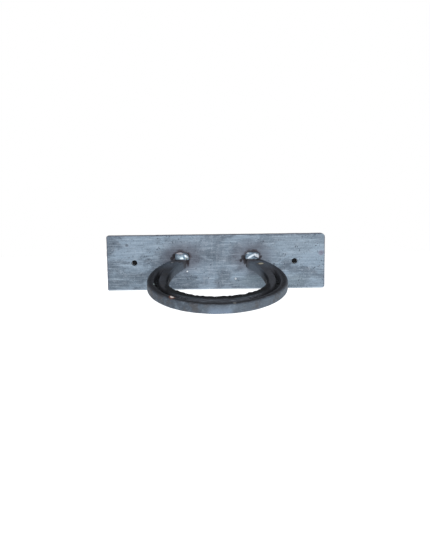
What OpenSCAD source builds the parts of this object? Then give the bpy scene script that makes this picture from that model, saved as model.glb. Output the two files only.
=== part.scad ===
// Horseshoe door knocker of the fixed pattern: a fullered keg horseshoe stands out of a flat steel
// backplate and is welded to it by its two heels. Two screw holes fasten the plate to a door or gate.
// Frame: X along the plate, -Y out of the door, +Z up, millimetres. The origin is the centre of the
// plate's back face, where it lies on the door.

/* [Backplate] */
// Length of the flat bar that the plate is cut from
plate_w = 200; // [160:1:260]
// Width of the flat bar
plate_h = 50.8; // [40:0.1:80]
// Thickness of the flat bar
plate_t = 5; // [3:0.5:10]
// Easing along the bar's rolled front edges
mill_edge = 0.7; // [0.2:0.1:1.2]
// Radius of the upper right corner, ground by hand
corner_upper_right = 3.6; // [0.5:0.1:8]
// Radius of the lower right corner
corner_lower_right = 2.4; // [0.5:0.1:8]
// Radius of the upper left corner
corner_upper_left = 1.8; // [0.5:0.1:8]
// Radius of the lower left corner
corner_lower_left = 1.2; // [0.5:0.1:8]

/* [Screw holes] */
// Diameter of each screw hole
hole_d = 5; // [3.5:0.1:6.5]
// From each end of the plate to the centre of its hole
hole_inset = 26.5; // [12:0.5:36]
// How far the pair of holes lies to the right of the plate's middle
hole_shift = -1.4; // [-3:0.1:3]

/* [Horseshoe] */
// Width of the shoe over its widest part
shoe_w = 117.4; // [100:0.1:145]
// From the plate's front face to the outside of the toe, along the shoe
shoe_len = 125.4; // [100:0.1:155]
// From the plate's front face to the widest part
widest_at = 58; // [48:0.5:66]
// Width over the outside of the heels, at the plate
heel_w = 82; // [70:0.5:100]
// Thickness of the shoe's bar
shoe_t = 8; // [6:0.5:10]
// Width of the web at the toe
toe_web = 21; // [17:0.5:26]
// Width of each branch at the widest part
branch_web = 17.8; // [14:0.1:22]
// Width of each heel, along the plate
heel_web = 15.8; // [12:0.1:19]
// Easing of the shoe's long edges
shoe_edge = 1.4; // [0.6:0.1:2.2]
// Angle that the toe droops below square to the plate
droop = 8.4; // [0:0.1:15]
// Height of the heels' upper face above the plate's middle line, at the plate
heel_z = 2.5; // [-4:0.1:8]
// Rounding of the corners of each heel, which leaves a small open wedge at the plate
heel_relief = 2.4; // [0.6:0.1:4]

/* [Crease and nail holes] */
// Width of the crease at the shoe's face
crease_w = 5; // [4.4:0.1:6.4]
// Width of the crease's floor
crease_floor = 3; // [2.8:0.1:4]
// Depth of the crease
crease_depth = 4; // [2:0.1:5]
// Middle of the crease, as the distance in from the shoe's outer edge
crease_in = 8; // [6:0.1:8.5]
// Where the crease starts, outwards from the plate's front face
crease_from_plate = 30; // [10:1:36]
// Where the crease stops, sideways from the middle of the toe
crease_from_toe = 24; // [18:1:34]
// Nail holes in each branch
nails = 4; // [2:1:4]
// Length of a nail hole, along the crease
nail_l = 5; // [4:0.1:7]
// Width of a nail hole
nail_w = 2.5; // [2:0.1:2.8]

/* [Welds] */
// Width of each weld bead along the plate
bead_w = 14; // [10:0.5:15]
// How far each bead reaches out along its heel
bead_out = 4.6; // [4:0.1:6]
// Height of the left bead on the plate
bead_left_h = 7.6; // [6:0.1:10]
// Height of the right bead on the plate
bead_right_h = 7.2; // [6:0.1:10]
// How far the left bead's middle lies inwards of its heel's middle
bead_left_shift = 1.5; // [0:0.1:3]
// Puddles that make one bead, side by side
ripples = 5; // [3:1:7]

/* [Hidden] */
$fn = 64;
plate_colour = "#7D8C9B";
shoe_colour = "#3E4047";
weld_colour = "#B9C6D2";
over = 1;                              // how far a cutter runs past what it cuts
big = 400;                             // side of a block that cuts everything beyond a plane
stations = 96;                         // steps of the shoe's sweep, from heel to heel
ramp = 0.035;                          // share of the sweep over which the crease runs out
inner_lead = 5;                        // how much farther out the inner outline is at its widest
outer_form = [shoe_w / 2, widest_at, shoe_len, heel_w / 2];
inner_form = [shoe_w / 2 - branch_web, widest_at + inner_lead, shoe_len - toe_web,
              heel_w / 2 - heel_web];
heel_middle = (heel_w - heel_web) / 2;
heel_cut = 8;                          // length of the cuts that round the heels' corners
nail_margin = [0.095, 0.048];          // shares of the sweep from the crease's ends to the end holes
// Spatter grains on the plate: distance right of the middle, height above it, radius
spatter = [[17.8, -15.6, 1], [-26.6, -8.2, 0.9]];

// ---- Shape of the shoe, in its own plane: x sideways, y out from the plate ----

// An outline's [half width, distance to the widest part, length, half width at the plate] makes two
// half ellipses, one round the toe and one back to the heels. Share 0 is the left heel, 1 the right.
function heel_angle(form) = acos(form[3] / form[0]);
function back_reach(form) = form[1] / sin(heel_angle(form));
function outline(form, share) =
    let (a = share * (180 + 2 * heel_angle(form)) - heel_angle(form),
         reach = a > 0 && a < 180 ? form[2] - form[1] : back_reach(form))
    [-form[0] * cos(a), form[1] + reach * sin(a)];
function outer_point(share) = outline(outer_form, share);
function across(share) = outline(inner_form, share) - outer_point(share);
function in_from_edge(share, d) =
    outer_point(share) + d * across(share) / norm(across(share));

// Share of the sweep at which the outer outline reaches an angle, counted from the shoe's left side
function share_at(angle) = (heel_angle(outer_form) + angle) / (180 + 2 * heel_angle(outer_form));
crease_start = share_at(-asin((widest_at - crease_from_plate) / back_reach(outer_form)));
crease_stop = share_at(90 - asin(2 * crease_from_toe / shoe_w));

function ease(x) = let (c = min(1, max(0, x))) c * c * (3 - 2 * c);
// 1 where the crease is at full depth, 0 where there is none
function crease_share(share) =
    let (left = min(share, 1 - share))
    ease((left - crease_start) / ramp) * ease((crease_stop - left) / ramp);

// One section of the bar: [distance in from the outer edge, height], the upper face at height 0
function section(share) =
    let (w = norm(across(share)), e = shoe_edge, k = 0.3 * shoe_edge, t = shoe_t,
         d = crease_depth * crease_share(share), c = crease_in)
    [[0, -e], [k, -k], [e, 0],
     [c - crease_w / 2, 0], [c - crease_floor / 2, -d], [c + crease_floor / 2, -d],
     [c + crease_w / 2, 0],
     [w - e, 0], [w - k, -k], [w, -e],
     [w, e - t], [w - k, k - t], [w - e, -t],
     [e, -t], [k, k - t], [0, e - t]];

module bar_sweep() {
    rings = [for (i = [0:stations])
             let (share = i / stations)
             [for (p = section(share))
              let (q = in_from_edge(share, p[0])) [q[0], -q[1], p[1]]]];
    n = len(rings[0]);
    points = [for (ring = rings) for (p = ring) p];
    sides = [for (i = [0:stations - 1]) for (j = [0:n - 1])
             let (a = i * n + j, b = i * n + (j + 1) % n)
             for (f = [[a, b, a + n], [b, b + n, a + n]]) f];
    polyhedron(points, concat([[for (j = [n - 1:-1:0]) j]], sides,
                              [[for (j = [0:n - 1]) stations * n + j]]));
}

// A nail hole goes right through the bar from the crease's floor, in line with the crease
module nail_hole(share) {
    at = in_from_edge(share, crease_in);
    ahead = in_from_edge(share + 0.01, crease_in) - in_from_edge(share - 0.01, crease_in);
    translate([at[0], -at[1], -shoe_t / 2])
        rotate(atan2(-ahead[1], ahead[0]))
            cube([nail_l, nail_w, shoe_t + 2 * over], center = true);
}

module nail_holes() {
    first = crease_start + nail_margin[0];
    last = crease_stop - nail_margin[1];
    for (i = [0:nails - 1], side = [0, 1])
        let (share = first + (last - first) * i / (nails - 1))
            nail_hole(side == 0 ? share : 1 - share);
}

// A cut across the corner of a heel: from heel_relief inside the corner at x, it leans off to the
// side called away, by lean for each millimetre out along the shoe
module heel_corner(x, away, lean) {
    from = x - away * heel_relief;
    linear_extrude(height = big, center = true)
        polygon([[from, over], [from, 0], [from + away * lean * heel_cut, -heel_cut],
                 [from + away * lean * heel_cut, over]]);
}

// ---- Parts ----

// Places the shoe's own frame on the plate: its upper face meets the plate's front face at heel_z
module at_heels() {
    translate([0, -plate_t, heel_z]) rotate([droop, 0, 0]) children();
}

module behind_plate_front() {
    translate([-big / 2, -plate_t, -big / 2]) cube(big);
}

module corner_waste(x, z, right, up, r) {
    translate([x, z])
        difference() {
            translate([right > 0 ? -r : -over, up > 0 ? -r : -over]) square(r + over);
            translate([-right * r, -up * r]) circle(r);
        }
}

module plate_outline() {
    x = plate_w / 2;
    z = plate_h / 2;
    difference() {
        square([plate_w, plate_h], center = true);
        corner_waste(x, z, 1, 1, corner_upper_right);
        corner_waste(x, -z, 1, -1, corner_lower_right);
        corner_waste(-x, z, -1, 1, corner_upper_left);
        corner_waste(-x, -z, -1, -1, corner_lower_left);
    }
}

// End view of the flat bar: [y, z], with its two front edges eased
module bar_end() {
    z = plate_h / 2;
    m = mill_edge;
    polygon([[0, -z], [0, z], [m - plate_t, z], [-plate_t, z - m],
             [-plate_t, m - z], [m - plate_t, -z]]);
}

module backplate() {
    color(plate_colour)
        difference() {
            intersection() {
                rotate([90, 0, 0])
                    translate([0, 0, -over])
                        linear_extrude(height = plate_t + 2 * over) plate_outline();
                translate([-plate_w / 2 - over, 0, 0])
                    rotate([90, 0, 90])
                        linear_extrude(height = plate_w + 2 * over) bar_end();
            }
            for (side = [-1, 1])
                translate([side * (plate_w / 2 - hole_inset) + hole_shift, over, 0])
                    rotate([90, 0, 0]) cylinder(d = hole_d, h = plate_t + 2 * over);
        }
}

module horseshoe() {
    color(shoe_colour)
        difference() {
            at_heels()
                difference() {
                    bar_sweep();
                    nail_holes();
                    for (side = [-1, 1]) {
                        heel_corner(side * heel_w / 2, side, 1.5);
                        heel_corner(side * (heel_w / 2 - heel_web), -side, 0.5);
                    }
                }
            behind_plate_front();
        }
}

// Puddles side by side in the corner above a heel, at the plate, the tallest in the middle
module puddles(height) {
    for (i = [0:ripples - 1])
        let (place = 2 * i / (ripples - 1) - 1,
             r = bead_out * (1 - 0.25 * place * place),
             crown = height * (1 - 0.2 * place * place) - r)
            for (lift = [0, crown])
                translate([place * (bead_w / 2 - 0.75 * bead_out), 0, lift]) sphere(r);
}

module weld_bead(x, height) {
    color(weld_colour)
        difference() {
            translate([x, -plate_t, heel_z]) puddles(height);
            behind_plate_front();
            at_heels() translate([-big / 2, -big / 2, -big]) cube(big);
        }
}

module weld_spatter() {
    color(weld_colour)
        difference() {
            for (grain = spatter)
                translate([grain[0], -plate_t, grain[1]]) sphere(grain[2]);
            behind_plate_front();
        }
}

backplate();
horseshoe();
weld_bead(bead_left_shift - heel_middle, bead_left_h);  // weld_left
weld_bead(heel_middle, bead_right_h);  // weld_right
weld_spatter();
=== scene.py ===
import math

import bmesh
import bpy
from mathutils import Matrix, Vector, noise


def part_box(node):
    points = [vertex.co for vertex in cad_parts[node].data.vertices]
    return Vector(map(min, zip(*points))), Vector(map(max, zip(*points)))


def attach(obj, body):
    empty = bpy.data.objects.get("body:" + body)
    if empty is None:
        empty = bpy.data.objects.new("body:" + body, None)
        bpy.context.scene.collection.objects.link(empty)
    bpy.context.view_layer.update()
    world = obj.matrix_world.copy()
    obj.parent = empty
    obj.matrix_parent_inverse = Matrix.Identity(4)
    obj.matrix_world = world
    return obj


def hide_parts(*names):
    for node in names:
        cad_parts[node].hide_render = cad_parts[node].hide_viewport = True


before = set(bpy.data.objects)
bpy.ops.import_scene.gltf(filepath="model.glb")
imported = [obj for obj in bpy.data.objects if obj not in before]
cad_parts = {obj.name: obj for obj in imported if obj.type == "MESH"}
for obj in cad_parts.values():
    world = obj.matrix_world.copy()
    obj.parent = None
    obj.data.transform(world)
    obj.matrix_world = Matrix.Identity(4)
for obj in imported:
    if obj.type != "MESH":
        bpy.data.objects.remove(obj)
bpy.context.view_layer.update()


# ---- Studio -------------------------------------------------------------------------------
# A white floor and a white surround, one big soft source behind the camera and a weak fill from
# above. The camera stands a little to the left of the knocker and looks slightly down on it.

def linear(code):
    """A colour written as a hex code, as the linear values that Blender works in."""
    values = [int(code[i:i + 2], 16) / 255 for i in (1, 3, 5)]
    return [v / 12.92 if v <= 0.04045 else ((v + 0.055) / 1.055) ** 2.4 for v in values] + [1.0]


def add(tree, kind, settings=None, inputs=None):
    """A new shader node, with its settings, and with values, hex colours or links on its inputs."""
    node = tree.nodes.new("ShaderNode" + kind)
    for name, value in (settings or {}).items():
        setattr(node, name, value)
    for name, value in (inputs or {}).items():
        if isinstance(value, bpy.types.NodeSocket):
            tree.links.new(value, node.inputs[name])
        else:
            node.inputs[name].default_value = linear(value) if isinstance(value, str) else value
    return node


front_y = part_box("backplate")[0][1]
plate_middle = Vector((0, front_y, 0))
distance = 0.6117
azimuth, elevation, roll = math.radians(-0.712), math.radians(7.852), math.radians(0.687)
aim_right, aim_up = -0.0011, -0.00595
back = Vector((math.sin(azimuth) * math.cos(elevation), -math.cos(azimuth) * math.cos(elevation),
               math.sin(elevation)))
right = Vector((0, 0, 1)).cross(back).normalized()
up = back.cross(right)
rolled_right = math.cos(roll) * right - math.sin(roll) * up
rolled_up = math.sin(roll) * right + math.cos(roll) * up

camera = bpy.data.objects.new("camera", bpy.data.cameras.new("camera"))
camera.data.lens, camera.data.sensor_width = 44.67, 36
camera.data.clip_start = 0.01
stand = plate_middle + distance * back + aim_right * right + aim_up * up
turned = Matrix((rolled_right, rolled_up, back)).transposed()
camera.matrix_world = Matrix.Translation(stand) @ turned.to_4x4()
bpy.context.scene.collection.objects.link(camera)
bpy.context.scene.camera = camera
bpy.context.scene.view_settings.view_transform = "Standard"

world = bpy.data.worlds.new("studio")
world.use_nodes = True
bpy.context.scene.world = world
sky = world.node_tree
sky.nodes.clear()
seen = add(sky, "Background", None, {"Color": "#FFFFFF", "Strength": 1.0})
lighting = add(sky, "Background", None, {"Color": "#E9EEF5", "Strength": 0.5})
path = add(sky, "LightPath")
both = add(sky, "MixShader", None, {0: path.outputs["Is Camera Ray"], 1: lighting.outputs[0],
                                    2: seen.outputs[0]})
add(sky, "OutputWorld", None, {"Surface": both.outputs[0]})


def softbox(name, place, size, power, tint):
    """A square area light of that side, aimed at the plate."""
    light = bpy.data.lights.new(name, "AREA")
    light.size = size
    light.energy = power
    light.color = linear(tint)[:3]
    box = bpy.data.objects.new(name, light)
    box.location = place
    box.rotation_euler = (plate_middle - Vector(place)).to_track_quat("-Z", "Y").to_euler()
    bpy.context.scene.collection.objects.link(box)


softbox("key", (0.12, -1.5, 0.35), 0.9, 14, "#FFFDFA")
softbox("fill", (-0.5, -0.5, 0.9), 0.6, 2.5, "#F2F6FF")


def staged(name, shape, paint):
    """A thing of the studio, which is not part of the knocker."""
    mesh = bpy.data.meshes.new(name)
    shape.to_mesh(mesh)
    shape.free()
    mesh.materials.append(paint)
    thing = bpy.data.objects.new(name, mesh)
    bpy.context.scene.collection.objects.link(thing)


def plain_paint(name, colour, glow=0.0):
    """A matt paint of one colour, for the studio's own things."""
    paint = bpy.data.materials.new(name)
    paint.use_nodes = True
    surface = paint.node_tree.nodes["Principled BSDF"]
    surface.inputs["Base Color"].default_value = linear(colour)
    surface.inputs["Roughness"].default_value = 0.9
    surface.inputs["Emission Color"].default_value = linear(colour)
    surface.inputs["Emission Strength"].default_value = glow
    return paint


floor_half, floor_z = 6, -0.7
shape = bmesh.new()
bmesh.ops.create_grid(shape, x_segments=1, y_segments=1, size=floor_half,
                      matrix=Matrix.Translation((0, 0, floor_z)))
staged("floor", shape, plain_paint("lit_white_floor", "#FFFFFF", 0.8))

# Painted shade in the screw holes: a dark patch at the bottom of each hole, standing in for the
# shade seen through it. It is a little smaller than the hole and just in front of the plate's back,
# so that it touches nothing.
screw_places, screw_r = (-0.0749, 0.0721), 0.0025
patch_r, patch_y = screw_r * 0.98, -0.0004
facing_front = Matrix.Rotation(math.pi / 2, 4, "X")
shape = bmesh.new()
for hole_x in screw_places:
    bmesh.ops.create_circle(shape, cap_ends=True, segments=40, radius=patch_r,
                            matrix=Matrix.Translation((hole_x, patch_y, 0)) @ facing_front)
staged("shade_in_screw_holes", shape, plain_paint("painted_hole_shade", "#0C0D11"))


# ---- Backplate ----------------------------------------------------------------------------
# A length of hot-rolled flat bar, sawn off at both ends and drilled for two screws. Its long
# edges are rounded by the rolling mill, its corners by a grinder, each by a different amount.

def material(name):
    """A new material with an empty node tree but for its Principled shader, linked up."""
    made = bpy.data.materials.new(name)
    made.use_nodes = True
    tree = made.node_tree
    tree.nodes.clear()
    surface = add(tree, "BsdfPrincipled")
    add(tree, "OutputMaterial", None, {"Surface": surface.outputs[0]})
    return made, tree, surface


def millimetres(tree, stretch=(1, 1, 1)):
    """Object coordinates in millimetres, each axis multiplied by stretch."""
    place = add(tree, "TexCoord").outputs["Object"]
    scale = [1000 * s for s in stretch]
    return add(tree, "Mapping", None, {"Vector": place, "Scale": scale}).outputs[0]


def grain(tree, size, stretch=(1, 1, 1), detail=4.0, roughness=0.55, warp=0.0):
    """Soft noise from 0 to 1 whose features are about size millimetres across."""
    return add(tree, "TexNoise", None, {
        "Vector": millimetres(tree, stretch), "Scale": 1 / size, "Detail": detail,
        "Roughness": roughness, "Distortion": warp}).outputs["Fac"]


def where(tree, *conditions, most=1.0):
    """A share of the surface, from 0 to most: all the conditions multiplied. Each one is a share
    already, or a value with the two numbers between which it fades in."""
    share = most
    for condition in conditions:
        if isinstance(condition, tuple):
            value, start, end = condition
            condition = add(tree, "MapRange", {"interpolation_type": "SMOOTHSTEP"},
                            {"Value": value, "From Min": start, "From Max": end}).outputs[0]
        share = add(tree, "Math", {"operation": "MULTIPLY"}, {0: condition, 1: share}).outputs[0]
    return share


def toned(tree, under, tone, *conditions, most=1.0):
    """The colour under, turned to another tone where all the conditions hold."""
    share = where(tree, *conditions, most=most)
    return add(tree, "Mix", {"data_type": "RGBA"}, {0: share, 6: under, 7: tone}).outputs[2]


def away_from(tree, centre, squeeze, ragged, by, turn=0.0):
    """Millimetres to centre, turned about Y, each axis multiplied by squeeze, and made ragged: a
    grain moves it by up to half of by either way."""
    offset = add(tree, "VectorMath", {"operation": "SUBTRACT"},
                 {0: millimetres(tree), 1: [1000 * c for c in centre]}).outputs[0]
    if turn:
        offset = add(tree, "VectorRotate", {"rotation_type": "Y_AXIS"},
                     {"Vector": offset, "Angle": math.radians(turn)}).outputs[0]
    offset = add(tree, "VectorMath", {"operation": "MULTIPLY"}, {0: offset, 1: squeeze}).outputs[0]
    away = add(tree, "VectorMath", {"operation": "LENGTH"}, {0: offset}).outputs["Value"]
    either_way = add(tree, "Math", {"operation": "SUBTRACT"}, {0: ragged, 1: 0.5}).outputs[0]
    return add(tree, "Math", {"operation": "MULTIPLY_ADD"},
               {0: either_way, 1: by, 2: away}).outputs[0]


def roughen(tree, surface, *layers):
    """Gives the surface its relief. Each layer is a pattern and how deep it is, in metres."""
    under = {}
    for height, depth in layers:
        relief = add(tree, "Bump", None,
                     {"Height": height, "Distance": depth, "Strength": 1.0} | under).outputs[0]
        under = {"Normal": relief}
    tree.links.new(relief, surface.inputs["Normal"])


def finish_mesh(shape, name, made, sharp=40):
    """Turns the bmesh into an object with that material, edges over sharp degrees kept crisp."""
    bmesh.ops.recalc_face_normals(shape, faces=shape.faces)
    for face in shape.faces:
        face.smooth = True
    for edge in shape.edges:
        edge.smooth = edge.calc_face_angle(0.0) < math.radians(sharp)
    mesh = bpy.data.meshes.new(name)
    shape.to_mesh(mesh)
    shape.free()
    mesh.materials.append(made)
    piece = bpy.data.objects.new(name, mesh)
    bpy.context.scene.collection.objects.link(piece)
    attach(piece, "root")
    return piece


plate_x, plate_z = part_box("backplate")[1][0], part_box("backplate")[1][2]
upper_right, upper_left, lower_left, lower_right = 0.0036, 0.0018, 0.0012, 0.0024
mill_edge, back_edge = 0.0007, 0.0003
hole_edge, hole_back_edge = 0.00035, 0.0002
left_weld = Vector((-0.0316, front_y, 0.0025))
right_weld = Vector((0.0331, front_y, 0.0025))


def plate_mesh():
    """The plate's outline at the back, drilled, drawn out to the front, and its edges eased."""
    shape = bmesh.new()
    corners = [(1, 1, upper_right), (-1, 1, upper_left), (-1, -1, lower_left),
               (1, -1, lower_right)]
    points = []
    for turn, (side, upper, r) in enumerate(corners):
        for step in range(7):
            a = math.radians(90 * turn + 15 * step)
            points.append(shape.verts.new((side * (plate_x - r) + r * math.cos(a), 0,
                                           upper * (plate_z - r) + r * math.sin(a))))
    rim = [shape.edges.new((v, points[(i + 1) % len(points)])) for i, v in enumerate(points)]
    straight = [e for e in rim if e.calc_length() > 0.01]
    bmesh.ops.subdivide_edges(shape, edges=straight, cuts=60, use_grid_fill=False)

    # The rim wanders in by up to 0.24 mm and has small nicks
    for v in shape.verts:
        out = Vector((v.co.x / plate_x, 0, v.co.z / plate_z))
        wave = noise.noise(Vector((v.co.x * 90, 3.1, v.co.z * 90)))
        nick = max(0.0, noise.noise(Vector((v.co.x * 420, 9.4, v.co.z * 420))) - 0.35)
        v.co -= 0.00012 * (1 + wave) * out + 0.0006 * nick * out

    for hole_x in screw_places:
        bmesh.ops.create_circle(shape, segments=40, radius=screw_r,
                                matrix=Matrix.Translation((hole_x, 0, 0)) @ facing_front)
    bmesh.ops.triangle_fill(shape, edges=shape.edges[:], use_beauty=True)
    drawn = bmesh.ops.extrude_face_region(shape, geom=shape.faces[:])["geom"]
    front = [g for g in drawn if isinstance(g, bmesh.types.BMVert)]
    bmesh.ops.translate(shape, verts=front, vec=(0, front_y, 0))
    bmesh.ops.recalc_face_normals(shape, faces=shape.faces)

    def at_hole(v):
        return min(math.hypot(v.co.x - hole_x, v.co.z) for hole_x in screw_places) < screw_r * 1.1

    def edges_at(y, holes):
        """The sharp edges at that depth, round the holes or round the plate."""
        return [e for e in shape.edges
                if all(abs(v.co.y - y) < 1e-6 and at_hole(v) == holes for v in e.verts)
                and e.calc_face_angle(0.0) > 1]

    for y, width, holes in ((front_y, mill_edge, False), (0.0, back_edge, False),
                            (front_y, hole_edge, True), (0.0, hole_back_edge, True)):
        bmesh.ops.bevel(shape, geom=edges_at(y, holes), offset=width, segments=3, profile=0.5,
                        affect="EDGES", material=-1, clamp_overlap=True)
    flats = [f for f in shape.faces if abs(f.normal.y) > 0.999]
    bmesh.ops.inset_region(shape, faces=flats, thickness=0.0002, use_even_offset=True)
    return shape


# Hot-rolled mild steel: blue-grey rolling scale, wiped and scuffed lengthways until paler metal
# shows in clouds and streaks. The welding left soot, brown and violet heat tints round the heels.
# Real hairlines are too fine to show from here, so these are drawn about half a millimetre wide.
steel, tree, surface = material("hot_rolled_steel")
clouds = grain(tree, 24, (0.8, 1, 1.5), 5.0, 0.6, 0.5)
streaks = grain(tree, 1.1, (0.045, 1, 1), 6.0, 0.72)
hairlines = grain(tree, 0.55, (0.04, 1, 1), 3.0, 0.7)
strokes = grain(tree, 2.6, (1, 1, 0.14), 5.0, 0.62)
speckle = grain(tree, 1.0, (0.7, 1, 1), 3.0, 0.7)
mottle = grain(tree, 4.5, (0.7, 1, 1), 6.0, 0.65)
pits = grain(tree, 1.5, (1, 1, 1), 2.0, 0.5)
dirt = grain(tree, 9.0, (1, 1, 1), 2.0, 0.5)
place = add(tree, "SeparateXYZ", None, {0: millimetres(tree)})
along, height = place.outputs[0], place.outputs[2]

# Broad fields that are paler or darker: middle in metres, half length and half height in mm, tone
scale_and_painted_shade = toned(tree, "#4E5965", "#71808E", (clouds, 0.42, 0.58))
for x, z, half_x, half_z, tone in (
        (0.074, 0.013, 34, 11, "#7D8C99"), (-0.080, -0.015, 26, 12, "#4B5762"),
        (0.0, 0.004, 26, 24, "#48525D"), (-0.020, 0.018, 22, 8, "#707D8A"),
        (0.050, -0.018, 40, 8, "#6D7C86")):
    near = away_from(tree, (x, front_y, z), (1 / half_x, 0, 1 / half_z), clouds, 2.0)
    scale_and_painted_shade = toned(tree, scale_and_painted_shade, tone, (near, 1.3, 0.2), most=0.6)

# What rolling, wiping and scuffing left all over: pattern, where it fades in, how much, tone
for pattern, start, end, most, tone in (
        (streaks, 0.52, 0.68, 0.46, "#9AA9B6"), (streaks, 0.47, 0.30, 0.42, "#3D4955"),
        (mottle, 0.50, 0.70, 0.35, "#858D97"), (speckle, 0.54, 0.70, 0.30, "#AEB8C2"),
        (speckle, 0.46, 0.30, 0.40, "#3F4853"), (hairlines, 0.50, 0.72, 0.35, "#A3B0BC")):
    scale_and_painted_shade = toned(tree, scale_and_painted_shade, tone, (pattern, start, end), most=most)

# Strokes up and down the middle, and pits that come in groups
off_middle = add(tree, "Math", {"operation": "ABSOLUTE"}, {0: along}).outputs[0]
off_middle = add(tree, "Math", {"operation": "MULTIPLY_ADD"},
                 {0: clouds, 1: 30.0, 2: off_middle}).outputs[0]
scale_and_painted_shade = toned(tree, scale_and_painted_shade, "#8E96A2", (off_middle, 38, 24), (strokes, 0.45, 0.65),
                   most=0.17)
pitted = where(tree, (pits, 0.37, 0.30), (dirt, 0.42, 0.55))
scale_and_painted_shade = toned(tree, scale_and_painted_shade, "#2C313A", pitted, most=0.75)

# Heat tint round each weld, and soot close to it
above = Vector((0, 0, 0.002))
by_left, by_right = (away_from(tree, weld + above, (0.82, 1.15, 1), mottle, 7.0)
                     for weld in (left_weld, right_weld))
near_weld = add(tree, "Math", {"operation": "MINIMUM"}, {0: by_left, 1: by_right}).outputs[0]
soot = where(tree, (near_weld, 8.0, 5.2))
scale_and_painted_shade = toned(tree, scale_and_painted_shade, "#4E4F59", (near_weld, 21, 8), most=0.6)
scale_and_painted_shade = toned(tree, scale_and_painted_shade, "#3B3133", soot, most=0.75)

# Painted shadow in the gaps beside the heels and at the ends of the beads: middle in metres, half
# width and half height in mm
for x, z, half_x, half_z in (
        (-0.0258, 0.0022, 1.3, 5.6), (0.0250, 0.0040, 2.0, 2.2), (0.0264, 0.0008, 1.4, 3.6),
        (-0.0404, 0.0038, 1.6, 1.7), (-0.0386, 0.0064, 1.5, 1.8), (0.0412, 0.0044, 0.8, 1.2),
        (0.0228, 0.0012, 1.2, 1.3)):
    near = away_from(tree, (x, front_y, z), (1 / half_x, 0.5, 1 / half_z), mottle, 0.9)
    scale_and_painted_shade = toned(tree, scale_and_painted_shade, "#1C171B", (near, 1.35, 0.75), most=0.88)

# A nick near the upper left corner and a violet stain at the right end: middle in metres, where
# the tone fades in, in mm from there, how much of it, tone
for x, z, start, end, most, tone in ((-0.0815, 0.0163, 2.2, 0.9, 0.7, "#3A404A"),
                                     (0.0965, 0.0075, 3.6, 1.2, 0.5, "#5C4F60")):
    near = away_from(tree, (x, front_y, z), (1, 0, 1), mottle, 3.0)
    scale_and_painted_shade = toned(tree, scale_and_painted_shade, tone, (near, start, end), most=most)

# Painted shade along the top and both ends, a dark line where the rounded edges fall dark, and a
# pale line along the bottom
from_top, from_left, from_right, from_below = (
    add(tree, "Math", {"operation": "MULTIPLY_ADD"}, {
        0: mottle, 1: 1.2,
        2: add(tree, "Math", {"operation": "MULTIPLY_ADD"},
               {0: axis, 1: sign, 2: 1000 * half}).outputs[0]}).outputs[0]
    for axis, sign, half in ((height, -1, plate_z), (along, 1, plate_x), (along, -1, plate_x),
                             (height, 1, plate_z)))
from_end = add(tree, "Math", {"operation": "MINIMUM"}, {0: from_left, 1: from_right}).outputs[0]
from_edge = add(tree, "Math", {"operation": "MINIMUM"}, {0: from_top, 1: from_end}).outputs[0]
scale_and_painted_shade = toned(tree, scale_and_painted_shade, "#40404B", (from_edge, 1.9, 0.9), most=0.75)
scale_and_painted_shade = toned(tree, scale_and_painted_shade, "#B3BFC9", (from_below, 2.2, 1.0), most=0.35)
tree.links.new(scale_and_painted_shade, surface.inputs["Base Color"])
surface.inputs["Metallic"].default_value = 0.7

# Streaks of bare metal are smoother than the scale, and soot is rougher
rough = add(tree, "Math", {"operation": "MULTIPLY_ADD"}, {0: streaks, 1: -0.2, 2: 0.62}).outputs[0]
rough = add(tree, "Math", {"operation": "MULTIPLY_ADD"}, {0: soot, 1: 0.2, 2: rough}).outputs[0]
tree.links.new(rough, surface.inputs["Roughness"])
unpitted = add(tree, "Math", {"operation": "SUBTRACT"}, {0: 1.0, 1: pitted}).outputs[0]
roughen(tree, surface, (streaks, 0.00002), (mottle, 0.0001), (unpitted, 0.0001))

backplate = finish_mesh(plate_mesh(), "backplate_visual", steel)
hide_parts("backplate")


# ---- Horseshoe ----------------------------------------------------------------------------
# A forged keg shoe: one bar of mild steel bent round, with a crease pressed into each branch
# and oblong nail holes punched through the crease. The inner edge is left rough by the forge.

shoe_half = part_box("horseshoe")[1][0]
heel_z, heel_half = 0.0025, 0.041
shoe_t, edge_r = 0.008, 0.0014
droop = math.radians(8.4)
widest, shoe_len = 0.058, 0.1254
toe_web, branch_web, heel_web = 0.021, 0.0178, 0.0158
inner_widest = widest + 0.005
# The crease: from the outer edge in to its middle, its depth, its width at the top and the floor
crease_in, crease_depth, crease_w, crease_floor = 0.008, 0.004, 0.005, 0.003
crease_from_plate, crease_from_middle = 0.030, 0.024
nail_w, nails = 0.0025, 4
# How far each heel's corners are cut back at the plate. The outer cut is outer_lean times as long
# as it is deep, and the inner one grows shallower by inner_lean for each step out.
heel_relief, outer_lean, inner_lean = 0.0024, 1.5, 0.5
# Steps along the bar, counted from the left heel
stations = 576

# Each outline as half its width, how far out it is widest, its length and half its heels' width
outer_form = (shoe_half, widest, shoe_len, heel_half)
inner_form = (shoe_half - branch_web, inner_widest, shoe_len - toe_web, heel_half - heel_web)


def outline(form, share):
    """A point on the outline, from the left heel at 0 to the right heel at 1: x, and y outwards."""
    half, widest_at, length, half_heel = form
    heel = math.acos(half_heel / half)
    a = share * (math.pi + 2 * heel) - heel
    reach = length - widest_at if 0 < a < math.pi else widest_at / math.sin(heel)
    return Vector((-half * math.cos(a), widest_at + reach * math.sin(a)))


heel_turn = math.acos(heel_half / shoe_half)


def share_at(angle):
    """The share of the outline at that angle, which is 0 where the left branch is widest."""
    return (heel_turn + angle) / (math.pi + 2 * heel_turn)


crease_start = share_at(-math.asin((widest - crease_from_plate) * math.sin(heel_turn) / widest))
crease_stop = share_at(math.pi / 2 - math.asin(crease_from_middle / shoe_half))
# The share of the outline over which the crease runs out at each end
ramp = 0.035


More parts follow.
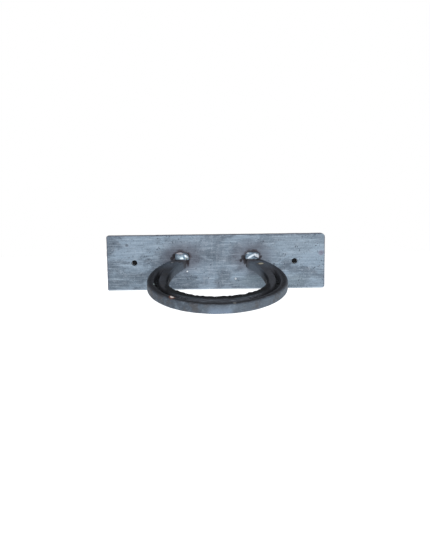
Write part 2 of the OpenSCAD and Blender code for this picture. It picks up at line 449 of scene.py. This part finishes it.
def ease(x):
    """0 up to 0, 1 from 1 on, and smooth between."""
    x = min(1.0, max(0.0, x))
    return x * x * (3 - 2 * x)


def crease_share(share):
    """1 where the crease is at full depth, 0 where there is none."""
    from_heel = min(share, 1 - share)
    return ease((from_heel - crease_start) / ramp) * ease((crease_stop - from_heel) / ramp)


def share_of_run(share):
    """How far along the crease: 0 up to its heel end, 1 at its toe end and 0 again well past it."""
    run = (min(share, 1 - share) - crease_start) / (crease_stop - crease_start)
    return run if 0 < run < 1.12 else 0.0


def on_shoe(x, out, height=0.0):
    """A point given in the shoe's own plane, out from the plate, as a place in the frame."""
    return (Vector((0, front_y, heel_z))
            + Matrix.Rotation(droop, 3, "X") @ Vector((x, -out, height)))


def arc(centre, radius, start, end, steps):
    """Points on an arc in the bar's section, angles in degrees."""
    angles = [math.radians(start + (end - start) * i / steps) for i in range(steps + 1)]
    return [(centre[0] + radius * math.cos(a), centre[1] + radius * math.sin(a)) for a in angles]


def between(a, b, count):
    """Points on the line from a to b, with both ends left out."""
    return [(a[0] + (b[0] - a[0]) * i / (count + 1), a[1] + (b[1] - a[1]) * i / (count + 1))
            for i in range(1, count + 1)]


def bar_section(w, depth):
    """Points round the bar, which is w wide: distance in from the outer edge, and height."""
    e, t, c = edge_r, shoe_t, crease_in
    half, foot, nail = crease_w / 2, crease_floor / 2, nail_w / 2
    mouth = 0.0005
    wall = [(half + mouth, 0), (half, 0.05), (half - mouth, 0.2), (foot + 0.0003, 0.84),
            (foot + 0.0001, 0.97), (nail, 1)]
    crease = [(c - x, -d * depth) for x, d in wall] + [(c, -depth)]
    crease += [(c + x, -d * depth) for x, d in reversed(wall)]
    under = [(c + nail, -t), (c, -t), (c - nail, -t)]
    return (arc((e, -e), e, 180, 90, 5) + between((e, 0), (c - half - mouth, 0), 2) + crease
            + between((c + half + mouth, 0), (w - e, 0), 6) + arc((w - e, -e), e, 90, 0, 5)
            + between((w, -e), (w, e - t), 5) + arc((w - e, e - t), e, 0, -90, 4)
            + between((w - e, -t), under[0], 5) + under + between(under[-1], (e, -t), 2)
            + arc((e, e - t), e, -90, -180, 4) + between((0, e - t), (0, -e), 5))


# What the mesh tells the material about each place: the outer side, the strip outside the crease,
# the crease by its depth for its painted shade, the band along the inner edge, and a paler, bluer
# strip just inside the crease.
shoe_marks = ("rim", "lip", "shaded_crease", "inner", "streak")
# Where the first and last nail hole of a branch lie, and how many steps along the bar a hole
# reaches to each side of its middle one
first_nail, last_nail = crease_start + 0.095, crease_stop - 0.048
nail_reach = 4


def shoe_mesh():
    """The bar as a flat sheet of stations by section points, then rolled up into the shoe."""
    widths = [(outline(inner_form, i / stations) - outline(outer_form, i / stations)).length
              for i in range(stations + 1)]
    sections = [bar_section(w, crease_depth * crease_share(i / stations))
                for i, w in enumerate(widths)]
    around = len(sections[0])
    creased = sections[stations // 4]
    floor_line, under_line = (
        [j for j, (u, h) in enumerate(creased)
         if h == level and abs(u - crease_in) < nail_w * 0.51]
        for level in (-crease_depth, -shoe_t))

    shape = bmesh.new()
    marks = {name: shape.verts.layers.float.new(name) for name in shoe_marks}
    bmesh.ops.create_grid(shape, x_segments=stations, y_segments=around, size=1)
    cell = {f: (math.floor((f.calc_center_median().x + 1) / 2 * stations),
                math.floor((f.calc_center_median().y + 1) / 2 * around)) for f in shape.faces}

    # Nail holes: the sheet is cut out on the crease's floor and on the underside, in pairs
    bores, punched = [], []
    for right_branch in (False, True):
        for i in range(nails):
            share = first_nail + (last_nail - first_nail) * i / (nails - 1)
            at = round((1 - share if right_branch else share) * stations)
            for line in (floor_line, under_line):
                out = {f for f, (a, b) in cell.items()
                       if at - nail_reach <= a <= at + nail_reach and line[0] <= b < line[-1]}
                punched += out
                bores.append({e for f in out for e in f.edges
                              if len([g for g in e.link_faces if g in out]) == 1})
    bmesh.ops.delete(shape, geom=punched, context="FACES_KEEP_BOUNDARY")

    for v in shape.verts:
        station = round((v.co.x + 1) / 2 * stations)
        u, h = sections[station][round((v.co.y + 1) / 2 * around) % around]
        share = station / stations
        at = outline(outer_form, share)
        w = widths[station]
        across = (outline(inner_form, share) - at) / w
        spot = Vector((at.x + u * across.x, at.y + u * across.y, h))
        toe = ease((at.y - 0.070) / 0.030)

        # Marks: u is in from the outer edge, and the inner band grows from 1.8 to 9 mm at the toe
        inner_band = 0.0018 + 0.0072 * toe
        off_crease = abs(u - crease_in)
        past_crease = u - crease_in - crease_w / 2
        v[marks["rim"]] = ease(1 - u / 0.0013)
        v[marks["inner"]] = ease((u - w + inner_band) / (0.3 * inner_band))
        v[marks["lip"]] = ease((u - 0.0010) / 0.0008) * ease((0.0058 - u) / 0.002)
        if off_crease < crease_w / 2 and h > -0.9 * shoe_t:
            shade = 1.0 if off_crease < 0.0014 else 0.3
            v[marks["shaded_crease"]] = shade * min(1.0, -h / crease_depth) ** 2
        if h > -0.001:
            v[marks["streak"]] = (ease((share_of_run(share) - 0.55) / 0.25)
                                  * ease(past_crease / 0.0006)
                                  * ease((0.0042 - past_crease) / 0.0016))

        # The heels' corners are cut back, and hammer dents and a forge burr make the bar uneven
        cut_out = max(0.0, heel_relief - at.y / outer_lean) + 0.0003 * ease(1 - at.y / 0.004)
        cut_in = max(0.0, heel_relief - at.y * inner_lean)
        u = cut_out + u * (w - cut_out - cut_in) / w
        hammered = 0.00012 * (1 + noise.noise(spot * 70))
        burr = (0.0002 + 0.0004 * toe) * noise.noise(spot * 300)
        burr += (0.0001 + 0.0003 * toe) * noise.noise(spot * 640)
        u += hammered * (1 - u / w) + burr * ease((u / w - 0.72) / 0.25)
        dent = 0.00014 * (1 + noise.noise(spot * 130 + Vector((0, 5, 0))))
        if h < -shoe_t / 2:
            h += dent
        else:
            h -= dent
        if h > -shoe_t / 2:
            h += 0.0005 * toe * noise.noise(spot * 270) * ease((u / w - 0.7) / 0.25)
        v.co = on_shoe(at.x + u * across.x, at.y + u * across.y, h)
        v.co.y = min(v.co.y, front_y)
    bmesh.ops.remove_doubles(shape, verts=shape.verts, dist=1e-7)

    for top, bottom in zip(bores[0::2], bores[1::2]):
        bmesh.ops.bridge_loops(shape, edges=[e for e in top | bottom if e.is_valid])
    bmesh.ops.holes_fill(shape, edges=[e for e in shape.edges if e.is_boundary], sides=0)
    return shape


# Forged mild steel: grey-black forge scale. The crease is near black, dark scale with painted shade
# that deepens with its depth, and the inner edge of the toe is near black too. The outer side is
# rubbed paler and bluer and painted paler where it faces the light, and painted light makes the
# heels and the right half paler. Forge grit is too fine to show from here, so it is drawn about
# half a millimetre across.
forged, tree, surface = material("forged_scale_steel")
rim, lip, shaded_crease, inner, streak = (
    add(tree, "Attribute", {"attribute_name": name}).outputs["Fac"] for name in shoe_marks)
patches = grain(tree, 10, (1, 1, 1), 5.0, 0.6, 0.3)
rust = grain(tree, 7.0, (1, 1, 1), 3.0, 0.6)
flakes = grain(tree, 2.2, (1, 1, 1), 6.0, 0.65)
grit = grain(tree, 0.6, (1, 1, 1), 3.0, 0.6)
scratches = grain(tree, 1.0, (0.13, 1, 1), 4.0, 0.6)
place = add(tree, "SeparateXYZ", None, {0: millimetres(tree)})
along, out, height = place.outputs[0], place.outputs[1], place.outputs[2]
toe, painted_light_at_heels = (out, -98, -112), (out, -40, -10)

# The scale on the faces, with painted light that makes it paler to the right and at the heels, and
# scratched on the toe
skin_and_painted_light = toned(tree, "#25262A", "#34363C", (patches, 0.35, 0.65))
skin_and_painted_light = toned(tree, skin_and_painted_light, "#4A4B50", (along, 5, 45), most=0.45)
skin_and_painted_light = toned(tree, skin_and_painted_light, "#2E2725", (rust, 0.5, 0.68), most=0.4)
skin_and_painted_light = toned(tree, skin_and_painted_light, "#464A52", (flakes, 0.52, 0.72), most=0.3)
skin_and_painted_light = toned(tree, skin_and_painted_light, "#656F7A", painted_light_at_heels, (flakes, 0.25, 0.6), most=0.9)
skin_and_painted_light = toned(tree, skin_and_painted_light, "#4A4E57", toe, (flakes, 0.3, 0.65), most=0.6)
skin_and_painted_light = toned(tree, skin_and_painted_light, "#7A8089", toe, (scratches, 0.5, 0.68), most=0.75)
skin_and_painted_light = toned(tree, skin_and_painted_light, "#1D1C1F", lip, (out, -20, -60), most=0.8)

# The outer side, rubbed paler and painted paler to the right where more light falls, with a
# painted highlight at the middle of the toe
side_tone = toned(tree, "#404852", "#5A6570", (along, -55, 40))
side_tone = toned(tree, side_tone, "#6F7B87", (flakes, 0.45, 0.7), most=0.4)
side_tone = toned(tree, side_tone, "#4A4644", (rust, 0.5, 0.66), most=0.6)
side_tone = toned(tree, side_tone, "#76838F", (rust, 0.46, 0.34), most=0.45)
rubbed_and_lit = add(tree, "Math", {"operation": "MULTIPLY_ADD"}, {0: patches, 1: 0.4, 2: 0.6}).outputs[0]
skin_and_painted_light = toned(tree, skin_and_painted_light, side_tone, rim, rubbed_and_lit)
off_highlight = add(tree, "Math", {"operation": "SUBTRACT"}, {0: along, 1: 0.7}).outputs[0]
off_highlight = add(tree, "Math", {"operation": "ABSOLUTE"}, {0: off_highlight}).outputs[0]
off_highlight = add(tree, "Math", {"operation": "MULTIPLY_ADD"},
                {0: flakes, 1: 7.0, 2: off_highlight}).outputs[0]
skin_and_painted_light = toned(tree, skin_and_painted_light, "#6D7C8E", rim, (off_highlight, 15, 10), (height, -16, -22),
             (out, -110, -118), most=0.8)

# The crease, near black where no flake has come off, with painted shade that deepens with its
# depth, and the inner edge: painted lighter on the branches as painted light, near black round the
# toe
skin_and_painted_light = toned(tree, skin_and_painted_light, "#3F4E56", streak, most=0.6)
unflaked = add(tree, "Math", {"operation": "MULTIPLY_ADD"},
               {0: where(tree, (flakes, 0.34, 0.56)), 1: 0.55, 2: 0.4}).outputs[0]
skin_and_painted_light = toned(tree, skin_and_painted_light, "#08090B", shaded_crease, unflaked)
skin_and_painted_light = toned(tree, skin_and_painted_light, "#565F69", inner, (out, -75, -35), most=0.75)
black_edge = where(tree, inner, (out, -32, -60), most=0.95)
skin_and_painted_light = toned(tree, skin_and_painted_light, "#09090B", black_edge)
skin_and_painted_light = toned(tree, skin_and_painted_light, "#1C1D22", (grit, 0.42, 0.28), most=0.5)

# Brown heat tint at the heels, and bright chips of bare metal, brightened into painted highlights:
# place on the shoe in metres, half width and half length in mm, and the tones of the bare metal
# with its painted glint and of the ring round it
for weld in (left_weld, right_weld):
    near = away_from(tree, weld, (0.8, 1, 1), flakes, 3.0)
    skin_and_painted_light = toned(tree, skin_and_painted_light, "#3E3431", (near, 11, 7), most=0.55)
for centre, half_x, half_y, bare_and_glint, ring in (
        (on_shoe(-0.0353, 0.1050), 2.2, 4.2, "#FFF1E8", "#845038"),
        (on_shoe(0.0399, 0.0155), 2.9, 3.0, "#C2BBA4", "#4C453B"),
        (on_shoe(-0.0400, 0.0080), 1.6, 1.4, "#97979A", "#4A4748"),
        (on_shoe(-0.0514, 0.0713), 1.2, 3.6, "#B2C0BD", "#2C3031"),
        (on_shoe(0.0117, 0.1215), 1.5, 1.6, "#85837F", "#4A4C50")):
    near = away_from(tree, centre, (1 / half_x, 1 / half_y, 0.3), grit, 0.7)
    skin_and_painted_light = toned(tree, skin_and_painted_light, ring, (near, 1.45, 1.0), most=0.7)
    skin_and_painted_light = toned(tree, skin_and_painted_light, bare_and_glint, (near, 1.0, 0.5), most=0.95)
# Painted shade on the heel ends, close against the plate
skin_and_painted_light = toned(tree, skin_and_painted_light, "#17151A", (out, -7.6, -6.0), most=0.85)
tree.links.new(skin_and_painted_light, surface.inputs["Base Color"])

# The black places hardly shine: nearly all their gloss is that of their own near-black colour
dull = where(tree, lip, most=0.7)
for black in (shaded_crease, black_edge):
    dull = add(tree, "Math", {"operation": "MAXIMUM"}, {0: dull, 1: black}).outputs[0]
metallic = add(tree, "Math", {"operation": "MULTIPLY_ADD"}, {0: dull, 1: 0.6, 2: 0.35}).outputs[0]
rough = add(tree, "Math", {"operation": "MULTIPLY_ADD"}, {0: flakes, 1: 0.3, 2: 0.45}).outputs[0]
tree.links.new(metallic, surface.inputs["Metallic"])
tree.links.new(rough, surface.inputs["Roughness"])
surface.inputs["Specular IOR Level"].default_value = 0.3
roughen(tree, surface, (patches, 0.0003), (flakes, 0.0002), (grit, 0.00008))

horseshoe = finish_mesh(shoe_mesh(), "horseshoe_visual", forged)
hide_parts("horseshoe")


# ---- Welds --------------------------------------------------------------------------------
# Each heel is held by a short bead of weld metal in the corner above it, laid to and fro in
# rippled bands. The metal is left bright as it froze, with a dark oxide line round its edge.

bead_w, bead_out = 0.014, 0.0046


def bead_mesh(middle, height, seed, bands, lean, bend, slope):
    """A bead at that place, with bands that lean and bend, its top sloping down to the right. It
    starts as a ball, which is made squarer, rippled and cut off flat at the plate and the heel."""
    shape = bmesh.new()
    valley = shape.verts.layers.float.new("valley")
    hem = shape.verts.layers.float.new("hem")
    bmesh.ops.create_icosphere(shape, subdivisions=6, radius=1)
    for v in shape.verts:
        square = math.hypot(v.co.x, v.co.z) / (abs(v.co.x) ** 5 + abs(v.co.z) ** 5 + 1e-9) ** 0.2
        across, rise = v.co.x * square, v.co.z * square
        bulge = math.copysign(abs(v.co.y) ** 0.7, v.co.y)
        wander = noise.noise(v.co * 1.6 + Vector((seed, 0, 0)))
        phase = bands * (lean * across + (1 - abs(lean)) * rise + bend * across * across
                         + 0.3 * wander) + seed
        step = 2 * (phase - math.floor(phase)) - 1
        crest = math.sqrt(max(0.0, 1 - step * step))
        lump = 0.91 + 0.08 * noise.noise(v.co * 2.4 + Vector((0, seed, 0)))
        swell = lump - 0.06 * (1 - crest)
        v[valley] = 1 - crest
        v[hem] = max(ease(1 + v.co.y / 0.2), ease(1 - v.co.z / 0.24))
        co = Vector((across * bead_w / 2, bulge * bead_out, rise * height)) * swell
        co.z *= 1 - slope * ease((across + 0.1) / 1.1)
        co.y = min(co.y, 0.0002)
        co.z = max(co.z, -0.0003 + math.tan(droop) * co.y)
        co.x = min(bead_w / 2, max(-bead_w / 2, co.x))
        v.co = middle + co
    return shape


# Weld metal, bright as it froze: smooth and blue-white, with painted highlights and dark painted
# reflections on its bands, dull oxide in the valleys between the bands and a burnt line along the
# foot.
bright, tree, surface = material("bright_weld_metal")
valley, hem = (add(tree, "Attribute", {"attribute_name": name}).outputs["Fac"]
               for name in ("valley", "hem"))
tint = grain(tree, 3.4, (1, 1, 1), 2.0, 0.5)
film = grain(tree, 0.8, (1, 1, 1), 4.0, 0.6)
fine = grain(tree, 0.7, (0.35, 1, 1), 3.0, 0.6)

# Painted highlights and dark painted reflections on the beads: middle in metres, half length and
# half width in mm, turn in degrees, tone
metal = toned(tree, "#6F8191", "#8B9CAA", (tint, 0.38, 0.62))
for x, z, half_x, half_z, turn, tone in (
        (-0.0334, 0.0086, 3.6, 0.7, 0, "#A9A4A7"), (-0.0332, 0.0050, 3.9, 1.7, 0, "#93A5B1"),
        (-0.0312, 0.0043, 1.6, 0.8, 0, "#D3DFE5"), (-0.0272, 0.0060, 2.3, 0.9, -38, "#DDE4EB"),
        (-0.0293, 0.0052, 0.5, 1.5, 25, "#46687A"), (-0.0331, 0.0073, 3.4, 0.4, 0, "#555B62"),
        (-0.0268, 0.0039, 1.5, 0.7, 0, "#7F8983"), (0.0284, 0.0080, 1.9, 0.5, 0, "#C3C8CC"),
        (0.0323, 0.0055, 4.9, 0.9, 31, "#CBD5DE"), (0.0373, 0.0058, 2.7, 1.3, -33, "#DEE3EA"),
        (0.0338, 0.0050, 1.6, 0.4, 20, "#323E52"), (0.0366, 0.0042, 2.0, 0.4, -25, "#363D48")):
    near = away_from(tree, (x, front_y, z), (1 / half_x, 0, 1 / half_z), film, 0.5, turn)
    metal = toned(tree, metal, tone, (near, 1.2, 0.75), most=0.9)
metal = toned(tree, metal, "#46525C", (valley, 0.55, 1.0), most=0.35)
metal = toned(tree, metal, "#6E737B", (fine, 0.52, 0.68), most=0.45)
metal = toned(tree, metal, "#2A2225", (hem, 0.55, 1.0), most=0.9)
tree.links.new(metal, surface.inputs["Base Color"])
surface.inputs["Metallic"].default_value = 0.7
rough = add(tree, "Math", {"operation": "MULTIPLY_ADD"}, {0: film, 1: 0.3, 2: 0.4}).outputs[0]
tree.links.new(rough, surface.inputs["Roughness"])
roughen(tree, surface, (film, 0.00003))

# Node, place and height in metres, seed, number of bands, their lean and bend, slope of the top
for name, middle, height, seed, bands, lean, bend, slope in (
        ("weld_left", left_weld + Vector((0.0006, 0, 0)), 0.0076, 0.55, 1.3, 0.25, 0.30, 0.25),
        ("weld_right", right_weld, 0.0072, 4.2, 1.4, -0.45, 0.25, 0.12)):
    shape = bead_mesh(middle, height, seed, bands, lean, bend, slope)
    bead = finish_mesh(shape, name + "_visual", bright, sharp=60)
    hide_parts(name)


# ---- Weld spatter -------------------------------------------------------------------------
# Grains of weld metal that flew off and froze to the plate's face: lumpy, bright half balls.

def spatter_mesh():
    """The grains by place on the plate and radius, each a ball cut off flat by the plate."""
    shape = bmesh.new()
    for x, z, r in ((0.0178, -0.0156, 0.001), (-0.0266, -0.0082, 0.0009)):
        grown = bmesh.ops.create_icosphere(shape, subdivisions=4, radius=1)["verts"]
        for v in grown:
            lump = 0.9 + 0.1 * noise.noise(v.co * 1.8 + Vector((1000 * x, 0, 0)))
            v.co = Vector((x, front_y, z)) + v.co * r * lump
            v.co.y = min(v.co.y, front_y + 0.0001)
    return shape


# Weld metal again, but in drops that froze in the air: whiter, with a thin grey film in places.
spatter_metal, tree, surface = material("weld_spatter_metal")
film = grain(tree, 0.5, (1, 1, 1), 3.0, 0.5)
metal = toned(tree, "#E4E9EE", "#A9ADB0", (film, 0.35, 0.7))
tree.links.new(metal, surface.inputs["Base Color"])
surface.inputs["Metallic"].default_value = 0.5
rough = add(tree, "Math", {"operation": "MULTIPLY_ADD"}, {0: film, 1: 0.3, 2: 0.3}).outputs[0]
tree.links.new(rough, surface.inputs["Roughness"])
roughen(tree, surface, (film, 0.00006))

spatter = finish_mesh(spatter_mesh(), "weld_spatter_visual", spatter_metal, sharp=60)
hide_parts("weld_spatter")
